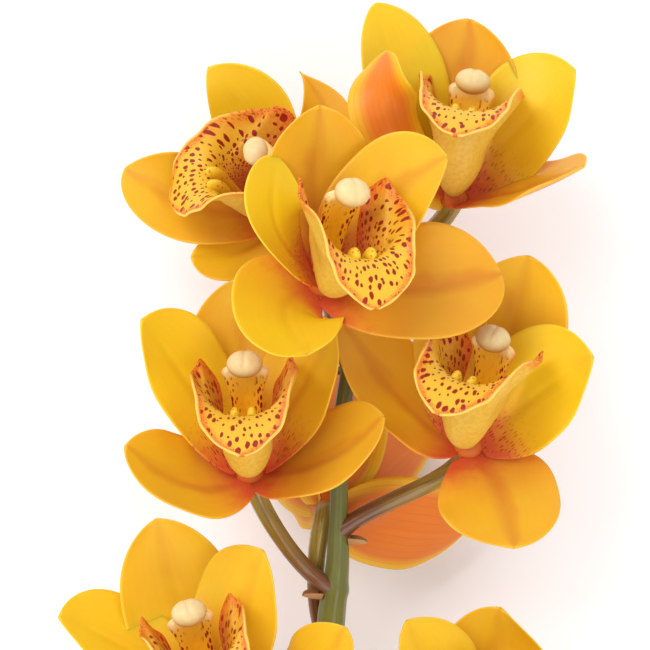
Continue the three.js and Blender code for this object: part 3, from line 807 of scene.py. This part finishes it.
def lip_skin(name, inner):
    desk = Skin(name, roughness=0.45, soft=0.3)
    v, seed = desk.parts("share")[1:]
    x, y, rim = desk.parts("lay")
    side = desk.band(v, 0.58, 0.66, 1, 0)
    middle = desk.minus(1, side)
    grain = desk.noise(1.4, 3)
    margin = desk.plus(rim, desk.times(desk.minus(grain, 0.5), 4))
    if inner:
        # Towards the heart the inner face turns red-brown: partly the lip's own red and partly painted shade
        # in the hollow under the column.
        deep = desk.plus(v, desk.times(grain, 0.12))
        colour = desk.mix(desk.band(deep, 0.4, 0.66, 0.85, 0), LIP_YELLOW, THROAT_RED_AND_SHADE)
        flush = desk.times(desk.band(margin, 0.5, 9, 0.65, 0.05), side)
        ring = desk.times(desk.band(margin, 0.8, 4.2, 0.75, 0), middle)
        colour = desk.mix(desk.math("MAXIMUM", flush, ring), colour, LIP_ORANGE)
        away = desk.minus(y, FAN_ALONG)
        turn = desk.times(desk.math("ARCTAN2", x, away), FAN_TURN)
        far = desk.math("SQRT", desk.plus(desk.times(x, x), desk.times(away, away)))
        rings = desk.math("LOGARITHM", desk.math("MAXIMUM", far, FAN_START), math.e)
        fan = desk.plus(desk.times(rings, FAN_RINGS), desk.times(seed, 17))
        marks = desk.group(flat_spots_group, desk.join(turn, fan), **LIP_SPOTS)["Spot"]
        shown = desk.times(desk.band(rim, 0.7, 1.7), desk.band(far, FAN_START, 2 * FAN_START))
        colour = desk.mix(desk.times(marks, shown), colour, MAROON)
        fine = desk.join(x, desk.plus(y, desk.times(seed, 60)))
        stipple = desk.group(flat_spots_group, fine, **LIP_STIPPLE)["Spot"]
        stipple = desk.times(stipple, desk.band(margin, 0.5, 6, 0.7, 0))
        colour = desk.mix(stipple, colour, desk.mix(side, BLUSH, MAROON))
        edge = desk.times(desk.band(rim, 0.3, 1.2, 0.8, 0), middle)
        colour = desk.mix(edge, colour, LIP_RIM)
    else:
        colour = desk.mix(desk.band(grain, 0.35, 0.65, 0, 0.2), LIP_OUTER, PALE_RIM)
        orange = desk.times(desk.band(margin, 0.6, 4, 0.8, 0), side)
        colour = desk.mix(desk.times(orange, desk.band(v, 0.34, 0.46)), colour, LIP_ORANGE)
    # A glow in the skin's own colour is painted light, standing in for light that comes through the thin
    # lip.
    return desk.dress(colour, relief=0.2, painted_glow=0.14)


desk = Skin("lip_keel", roughness=0.45, soft=0.15)
dots = desk.group(spots_group, spacing=1.5, size=0.3, rough=0.2)["Spot"]
keel_skin = desk.dress(desk.mix(desk.times(dots, 0.7), paint("E8BE2C"), BLUSH), relief=0.6)
lip_skins = [lip_skin("lip_inner", True), lip_skin("lip_outer", False)]

# %% [markdown]
# ## Lips
#
# A lip is one sheet as well. It leaves the heart as a narrow claw, rolls into a trough whose side lobes
# stand up beside the column, narrows to a waist and ends in a middle lobe that bends down. A table gives its
# width, its curl and how far the margins reach ahead. Two raised keels lead down the throat. They are short
# fat tubes, sunk into the sheet.

# %% Lip by formula
LIP_COLUMNS, LIP_ROWS = 72, 110
LIP_FLESH = (1.5, 0.7)
LIP_FRILL, LIP_FRILLS = 0.55, 7  # how far the margin swings, and how often


def lip_place(bloom, line, seed):
    right, _, forward = bloom_axes(bloom)
    size = bloom.get("size", 1)

    def place(u, v):
        half, floor_radius, wall, ahead = along_table(LIP_SHAPE, v)
        along = line.way(v)
        front = along.cross(right).normalized()
        turn = min(wall, abs(u) * half / floor_radius)
        straight = abs(u) * half - turn * floor_radius
        across = floor_radius * math.sin(turn) + straight * math.cos(turn)
        rise = floor_radius * (1 - math.cos(turn)) + straight * math.sin(turn)
        rise += LIP_FRILL * abs(u) ** 5 * math.sin(TAU * LIP_FRILLS * v + seed + 2 * u)
        point = line.at(v) + right * math.copysign(across, u) + front * rise + forward * ahead * u * u
        return point, v, half, line.length / size

    return place


KEEL_SIDE = 2.9  # each keel's distance from the lip's middle
KEEL_LIFT = 1.2  # how far its own middle line lies above the lip's
KEEL_SPAN = (0.2, 0.68)  # where on the lip it starts and ends
KEEL_RINGS = 30
KEEL_HALF_WIDTH, KEEL_TOP, KEEL_ROOT = 1.9, 3.6, 1.2  # how far it spreads, rises and reaches down


def keel_section(s, cos, sin):
    """The outline of a keel, highest near its blunt front end."""
    rise = math.sqrt(min(1, s / 0.7)) * math.sqrt(max(0, 1 - max(0, (s - 0.86) / 0.14) ** 2))
    height = KEEL_TOP if sin > 0 else KEEL_ROOT
    return KEEL_HALF_WIDTH * rise * cos, height * rise * sin


for number, bloom in enumerate(BLOOMS, start=1):
    right, upward, _ = bloom_axes(bloom)
    line = Line.through([on_bloom(bloom, (0, *pair)) for pair in LIP_LINE])
    bm = new_bmesh()
    add_sheet(bm, lip_place(bloom, line, number), LIP_COLUMNS, LIP_ROWS, number)
    bmesh.ops.reverse_faces(bm, faces=bm.faces)
    finish_piece(bm, f"bloom_{number}_spotted_lip", f"bloom_{number}_lip", lip_skins, LIP_FLESH)
    bm = new_bmesh()
    shares = [between(*KEEL_SPAN, step / KEEL_RINGS) for step in range(KEEL_RINGS + 1)]
    raised = [line.at(s) + line.way(s).cross(right) * KEEL_LIFT for s in shares]
    for hand in (-1, 1):
        keel = Line([point + right * KEEL_SIDE * hand for point in raised])
        add_tube(bm, keel, keel_section, upward, sides=14, rings=KEEL_RINGS)
    finish_piece(bm, f"bloom_{number}_keels", None, [keel_skin])
print("lips:", len(BLOOMS))

# %% [markdown]
# ## Columns and caps
#
# The column is the fused stamen and style, arched over the lip like a hood. It is round along its back and
# hollow beneath, with a wing down each side, yellow above and streaked with maroon below. The cap at its tip
# is a cream-coloured helmet with a shallow furrow. Both could be sculpted. Tubes and balls with a formula
# keep them crisp, and alike in every bloom.

# %% The column's skin and the cap's
COLUMN_MARKS = {"spacing": 1.1, "size": 0.46, "rough": 0.25}


def column_skin():
    desk = Skin("column", roughness=0.4, soft=0.15)
    cos, sin, s = desk.parts("share")
    a, b, length = desk.parts("lay")
    aside = desk.math("ABSOLUTE", cos)
    colour = desk.mix(desk.band(s, 0.1, 0.9), paint("E2A81C"), paint("E6BE48"))
    under = desk.times(desk.band(sin, -0.3, 0.25, 1, 0), desk.band(s, 0.5, 0.95, 0.9, 0.35))
    colour = desk.mix(under, colour, paint("DE9A10"))
    streaks = desk.join(a, b, desk.times(length, 0.4))
    marks = desk.group(spots_group, streaks, **COLUMN_MARKS)["Spot"]
    low = desk.times(desk.band(sin, -0.2, 0.35, 1, 0), desk.band(aside, 0.35, 0.6, 0.1, 1))
    marks = desk.times(marks, desk.times(low, desk.band(s, 0.75, 0.97, 1, 0.25)))
    colour = desk.mix(marks, colour, MAROON)
    colour = desk.mix(desk.band(s, 0.82, 0.94), colour, paint("EFD896"))
    wing = desk.times(desk.band(aside, 0.86, 0.99), desk.band(s, 0.7, 0.9))
    colour = desk.mix(desk.times(wing, 0.35), colour, BLUSH)
    # A glow in the column's own colour is painted light, standing in for light that comes through its flesh.
    return desk.dress(colour, relief=0.4, painted_glow=0.3)


def cap_skin():
    desk = Skin("cap", roughness=0.38, soft=0.25)
    z = desk.parts("share")[2]
    cream = desk.mix(desk.noise(2.5, 3), paint("E4D2A0"), paint("DABC80"))
    colour = desk.mix(desk.band(z, -0.5, 0.35, 0.8, 0), cream, paint("DCAE44"))
    return desk.dress(colour, relief=0.3)


column_material, cap_material = column_skin(), cap_skin()


# %% Columns and caps by formula
def column_section(size):
    """The column's outline: a rounded back, thin wings and a shallow hollow beneath."""

    def section(s, cos, sin):
        wide, deep = along_table(COLUMN_SHAPE, s)
        close = math.sqrt(max(0, 1 - max(0, (s - 0.9) / 0.1) ** 2)) * 0.55 + 0.45  # rounds off the tip
        across = wide * cos * close
        if sin > 0:
            return across * size, deep * sin ** 0.85 * close * size
        hollow = 0.75 * deep * max(0, 1 - (cos * 1.25) ** 2) * min(1, s * 1.6)
        return across * size, (0.45 * deep * sin + hollow * -sin) * close * size

    return section


FURROW, FURROW_REACH = 0.07, 0.14  # its depth and half its width, as shares of the cap's radii


def furrow(point):
    """What the furrow leaves of the cap's radius at a point of a ball of radius 1."""
    return 1 - FURROW * math.exp(-(point.x / FURROW_REACH) ** 2) * max(0, point.z + 0.35)


for number, bloom in enumerate(BLOOMS, start=1):
    upward = bloom_axes(bloom)[1]
    line = Line.through([on_bloom(bloom, (0, *pair)) for pair in COLUMN_LINE])
    bm = new_bmesh()
    add_tube(bm, line, column_section(bloom.get("size", 1)), upward, sides=40, rings=40)
    finish_piece(bm, f"bloom_{number}_arched_column", f"bloom_{number}_column", [column_material])
    bm = new_bmesh()
    for vert in bmesh.ops.create_uvsphere(bm, u_segments=40, v_segments=24, radius=1)["verts"]:
        q = vert.co.copy()
        sink = furrow(q)
        offsets = [c + r * x * sink for c, r, x in zip(CAP_CENTRE, CAP_RADII, q)]
        write_vertex(bm, vert, on_bloom(bloom, offsets), q, offsets)
    finish_piece(bm, f"bloom_{number}_pollen_cap", f"bloom_{number}_cap", [cap_material])
print("columns and caps:", len(BLOOMS))

# %% [markdown]
# ## Stem, stalks, bracts and sheaths
#
# The stem is a tube with faint ribs and a ring at each node. A stalk is a thinner tube that swings from the
# stem to the back of its bloom, brown and shiny, with six shallow ridges where it holds the ovary. The bract
# below it and the sheaths on the bare stem are dry sheets that have lost their green.


# %% Skins of stem and stalk
def tube_skin(name, far_colour, root_colour, dark, roughness):
    """A glossy plant stem. far_colour is its colour at the far end, root_colour at the root and dark in its
    streaks.
    """
    desk = Skin(name, roughness, coat=0.15)
    a, b, length = desk.parts("lay")
    s = desk.parts("share")[2]
    patch = desk.noise(12, 3)
    streak = desk.noise(0.9, 3, desk.join(a, b, desk.times(length, 0.06)))
    blend = desk.band(desk.plus(s, desk.times(patch, 0.3)), 0.15, 1.1)
    colour = desk.mix(blend, root_colour, far_colour)
    colour = desk.mix(desk.band(streak, 0.45, 0.75, 0, 0.55), colour, dark)
    flecks = desk.group(spots_group, spacing=2.6, size=0.12, rough=0.3)["Spot"]
    colour = desk.mix(desk.times(flecks, 0.35), colour, dark)
    return desk.dress(colour, relief=0.5, height=desk.times(streak, 0.08))


# The stem darkens from green at its cut end to dark olive at its far end among the blooms: that darkening is
# painted shade under the blooms.
stem_skin = tube_skin("stem", paint("5E5A2C"), paint("93A03C"), paint("66742E"), roughness=0.36)
stalk_skin = tube_skin("stalk", paint("9A8234"), paint("6C402A"), paint("4E3020"), roughness=0.2)

# %% The cut face and the dry skins
desk = Skin("cut_face", roughness=0.6)
bundles = desk.group(spots_group, spacing=1.3, size=0.26, rough=0.2)["Spot"]
cut_skin = desk.dress(desk.mix(bundles, paint("D5D9A0"), paint("9AA35A")), relief=0.7)


def dry_skin(name, pale, tan, count):
    """A papery skin, pale at its foot and tan towards its tip, with count veins on each half."""
    desk = Skin(name, roughness=0.75)
    u, v, _ = desk.parts("share")
    vein = desk.group(veins_group, across=u, count=count)["Vein"]
    colour = desk.mix(desk.band(desk.plus(v, desk.noise(6, 3)), 0.4, 1.5), pale, tan)
    colour = desk.mix(desk.times(vein, 0.45), colour, paint("8A6A34"))
    return desk.dress(colour, relief=0.6, height=desk.times(vein, 0.12))


sheath_skin = dry_skin("sheath", paint("B9AE6C"), paint("A98350"), 12)
bract_skin = dry_skin("bract", paint("A9744A"), paint("B98A58"), 5)

# %% The stem
RIBS, RIB_RISE, RIB_TWIST = 9, 0.1, 9  # twist: how far the ribs turn over the stem's length, in radians
NODE_RING, NODE_REACH = 0.5, 2.2  # how far a node stands out, and how far it spreads
THIN_STEM, THIN_RING = 4, 0.4  # where the stem is thinner than this, its nodes stand out less
NODE_YS = [bloom["node"] for bloom in BLOOMS] + [sheath["foot"] for sheath in SHEATHS]
node_shares = [stem_share(y) for y in NODE_YS]
SKYWARD = Vector((0, 0, 1))


def stem_section(s, cos, sin):
    radius = along_table(stem_girth, s)[0]
    rib = RIB_RISE * math.cos(RIBS * math.atan2(sin, cos) + RIB_TWIST * s)
    ring = min(1, sum(math.exp(-((s - n) * stem_line.length / NODE_REACH) ** 2) for n in node_shares))
    close = math.sqrt(max(0, 1 - max(0, (s - 0.995) / 0.005) ** 2)) * 0.8 + 0.2  # rounds off the tip
    r = (radius + rib + NODE_RING * ring * (THIN_RING if radius < THIN_STEM else 1)) * close
    return r * cos, r * sin


bm = new_bmesh()
add_tube(bm, stem_line, stem_section, SKYWARD, sides=54, rings=420)
for face in bm.faces:
    if len(face.verts) > 4 and face.calc_center_median().y < stem_line.at(0.5).y * MM:
        face.material_index = 1  # the cut end
stem = finish_piece(bm, "green_stem", "stem", [stem_skin, cut_skin])
print("stem faces:", len(stem.data.polygons))


# %% The stalks and their bracts
def stalk_line(bloom):
    """From the middle of the stem to the bloom's heart, leaving the bloom straight backwards."""
    root, end = stem_line.at(stem_share(bloom["node"])), Vector(bloom["heart"])
    way = end - root
    forward = bloom_axes(bloom)[2]
    leaving = root + way * 0.3 + Vector(bloom.get("sag", (0, 0, 0)))
    return Line.bezier(root, leaving, end - forward * way.length * 0.3, end)


RIDGES, RIDGE_RISE, RIDGE_TWIST = 6, 0.16, 2.5  # twist: how far they turn over its length, in radians


def stalk_section(s, cos, sin):
    """A stalk is plain near the stem, ridged where it holds the ovary, and flares at both ends."""
    fade_in = min(1, max(0, s - 0.25) * 3)
    ridge = RIDGE_RISE * math.cos(RIDGES * math.atan2(sin, cos) + RIDGE_TWIST * s) * fade_in
    flare = 0.5 * math.exp(-(s / 0.1) ** 2) + 0.7 * max(0, s - 0.88) / 0.12
    r = between(*STALK_RADIUS, s) + ridge + flare
    return r * cos, r * sin


BRACT_LENGTH, BRACT_WIDE, BRACT_CUP = 6.5, 9, 1.3
BRACT_FLESH = (0.8, 0.4)


def bract_place(bloom, line):
    """The formula of the small bract below a stalk."""
    s = stem_share(bloom["node"])
    stemward, root = stem_line.way(s), stem_line.at(s)
    outward = line.way(0.12)
    outward = (outward - stemward * outward.dot(stemward)).normalized()
    side = outward.cross(stemward)
    girth = along_table(stem_girth, s)[0]

    def place(u, w):
        half = BRACT_WIDE / 2 * max(0.02, math.sqrt(1 - w * w))
        below = STALK_RADIUS[0] + 0.9 - w * w * BRACT_LENGTH * 0.1
        arc = (half / BRACT_CUP) * (1 - math.cos(BRACT_CUP * u))
        point = root + outward * (girth + 0.2 + w * BRACT_LENGTH)
        point = point + stemward * (arc - below) + side * (half / BRACT_CUP) * math.sin(BRACT_CUP * u)
        return point, w, half, BRACT_LENGTH

    return place


for number, bloom in enumerate(BLOOMS, start=1):
    line = stalk_line(bloom)
    bm = new_bmesh()
    add_tube(bm, line, stalk_section, bloom_axes(bloom)[0], sides=30, rings=60)
    finish_piece(bm, f"bloom_{number}_flower_stalk", f"bloom_{number}_stalk", [stalk_skin])
    bm = new_bmesh()
    add_sheet(bm, bract_place(bloom, line), columns=16, rows=16, seed=number)
    name, node = f"bloom_{number}_small_bract", f"bloom_{number}_bract"
    finish_piece(bm, name, node, [bract_skin] * 2, BRACT_FLESH)
print("stalks and bracts:", len(BLOOMS))


# %% The dry sheaths
SHEATH_FLESH = (0.8, 0.5)
SHEATH_WRAP = 2.7  # how far each half reaches round the stem at its foot, in radians
SHEATH_OFF, SHEATH_FLARE = 0.9, 2.6  # its distance from the stem at its foot, and how much more at its tip


def sheath_place(sheath):
    """The formula of one dry sheath."""

    def place(u, w):
        s = stem_share(sheath["foot"] + sheath["length"] * w)
        along = stem_line.way(s)
        across = along.cross(SKYWARD).normalized()
        lift = across.cross(along)
        spread = SHEATH_WRAP * (1.02 - w) ** 0.55
        angle = sheath["turn"] + u * spread
        pleat = 0.12 * math.sin(26 * u)  # fine pleats, and then an uneven margin
        pleat += 0.5 * abs(u) ** 6 * math.sin(9 * w + sheath["turn"])
        r = along_table(stem_girth, s)[0] + SHEATH_OFF + SHEATH_FLARE * w * w + pleat * (0.3 + w)
        point = stem_line.at(s) + across * r * math.cos(angle) + lift * r * math.sin(angle)
        return point, w, r * spread, sheath["length"]

    return place


for number, sheath in enumerate(SHEATHS, start=1):
    bm = new_bmesh()
    add_sheet(bm, sheath_place(sheath), columns=64, rows=40, seed=number)
    name, node = f"dry_sheath_{number}", f"sheath_{number}"
    finish_piece(bm, name, node, [sheath_skin] * 2, SHEATH_FLESH)
print("sheaths:", len(SHEATHS))

# %% [markdown]
# ## The table, the light and the camera
#
# The stem lies on a plain white table. Soft light comes from all round and a large lamp from the upper left
# models the petals. The camera hangs straight above the blooms and looks down.

# %% Table
TABLE_REACH = 4  # metres from its middle to each edge
floor_mesh = bpy.data.meshes.new("table")
bm = bmesh.new()
bmesh.ops.create_grid(bm, x_segments=1, y_segments=1, size=TABLE_REACH)
bm.to_mesh(floor_mesh)
bm.free()
floor = new_object("table", floor_mesh)
floor_skin = Skin("table", roughness=0.9)
floor_skin.inputs["Base Color"].default_value = (0.93, 0.94, 0.95, 1)
floor_skin.inputs["Specular IOR Level"].default_value = 0.1
floor_mesh.materials.append(floor_skin.material)

# %% Lights
SHOWN_CENTRE = Vector((0, 0, 60)) + SHIFT  # the middle of the view, at the height of the blooms
world = bpy.data.worlds.new("studio")
world.use_nodes = True
background = world.node_tree.nodes["Background"].inputs
background["Color"].default_value = (1, 1, 1, 1)
background["Strength"].default_value = 0.86
bpy.context.scene.world = world


def add_lamp(name, offset, size, power):
    """A square lamp at an offset from the blooms, in millimetres, turned towards them."""
    lamp = bpy.data.lights.new(name, "AREA")
    lamp.size = size * MM
    lamp.energy = power
    holder = new_object(name, lamp)
    holder.location = (SHOWN_CENTRE + Vector(offset)) * MM
    holder.rotation_euler = (-Vector(offset)).to_track_quat("-Z", "Y").to_euler()


add_lamp("key", (-1300, 1300, 2200), size=1600, power=44)
add_lamp("fill", (600, -1500, 1900), size=2000, power=30)

# %% Camera
VIEW_WIDTH = 227.5  # millimetres shown across at the height of the blooms
CAMERA_RISE = 1050  # from there up to the camera
camera_data = bpy.data.cameras.new("camera")
camera_data.sensor_fit = "HORIZONTAL"
camera_data.angle = 2 * math.atan(VIEW_WIDTH / 2 / CAMERA_RISE)
camera = new_object("camera", camera_data)
camera.location = (SHOWN_CENTRE + Vector((0, 0, CAMERA_RISE))) * MM
bpy.context.scene.camera = camera
bpy.context.scene.view_settings.view_transform = "Standard"
